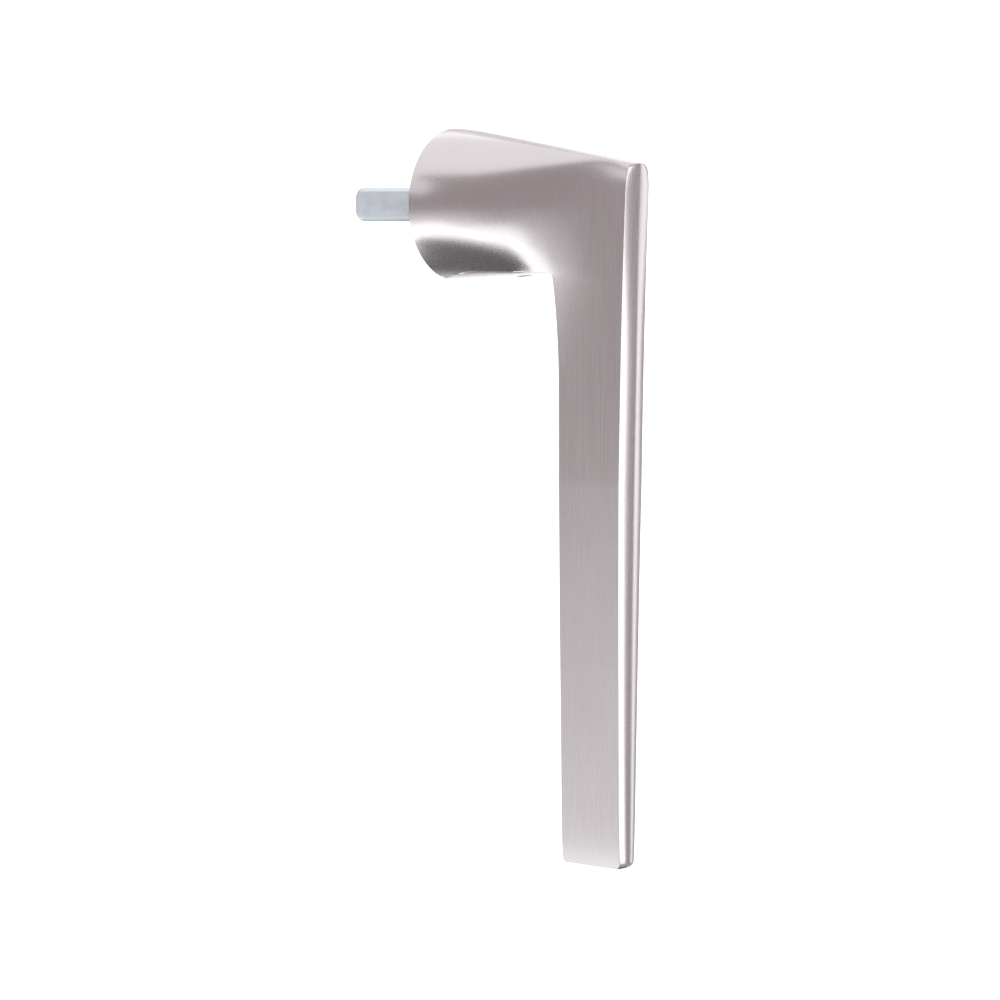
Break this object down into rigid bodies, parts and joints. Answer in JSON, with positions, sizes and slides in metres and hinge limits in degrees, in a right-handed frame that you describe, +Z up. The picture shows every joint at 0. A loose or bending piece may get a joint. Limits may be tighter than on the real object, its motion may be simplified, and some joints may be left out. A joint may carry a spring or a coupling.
{
  "type": "tilt turn handle",
  "caption": "Cranked window handle with a round neck, a slim tapering grip, a square spindle and a hidden latching base.",
  "frame": {"origin": "centre of the mounting face on the spindle's axis, midway between the two fixing holes", "axes": "+Y into the window sash along the spindle, +Z up, +X across; the grip hangs towards -Z at rest, window closed"},
  "size_m": [0.031, 0.0703, 0.1478],
  "materials": {
    "satin_nickel": "satin brushed nickel plate",
    "blue_zinc_steel": "blue passivated zinc plate",
    "die_cast_zinc": "as cast, matt",
    "turned_steel": "turned, oiled",
    "hardened_steel": "ground",
    "screw_steel": "black oxide",
    "spring_steel": "drawn wire",
    "bearing_plastic": "natural acetal"
  },
  "bodies": {
    "base": {"base_mount": "die_cast_zinc", "front_bush": "bearing_plastic", "back_bush": "bearing_plastic", "detent_spring_upper": "spring_steel", "detent_spring_lower": "spring_steel"},
    "lever": {"lever_body": "satin_nickel", "grub_screw": "screw_steel", "detent_ring": "hardened_steel", "ring_dowels": "hardened_steel", "drive_sleeve": "turned_steel", "spindle": "blue_zinc_steel", "roll_pin": "hardened_steel", "retaining_ring": "screw_steel", "thrust_washer": "bearing_plastic", "glide_ring": "bearing_plastic"},
    "upper_ball": {"detent_ball_upper": "hardened_steel"},
    "lower_ball": {"detent_ball_lower": "hardened_steel"}
  },
  "joints": [
    {"name": "lever_turn", "type": "hinge", "parent": "base", "child": "lever", "pos_m": [0, 0, 0], "axis": [0, 1, 0], "range_deg": [0, 180]},
    {"name": "upper_ball_click", "type": "slide", "parent": "base", "child": "upper_ball", "axis": [0, -1, 0], "range_m": [0, 0.0006], "stiffness_N_per_m": 400, "springref_m": 0.0021, "deforming": ["detent_spring_upper"]},
    {"name": "lower_ball_click", "type": "slide", "parent": "base", "child": "lower_ball", "axis": [0, -1, 0], "range_m": [0, 0.0006], "stiffness_N_per_m": 400, "springref_m": 0.0021, "deforming": ["detent_spring_lower"]}
  ]
}
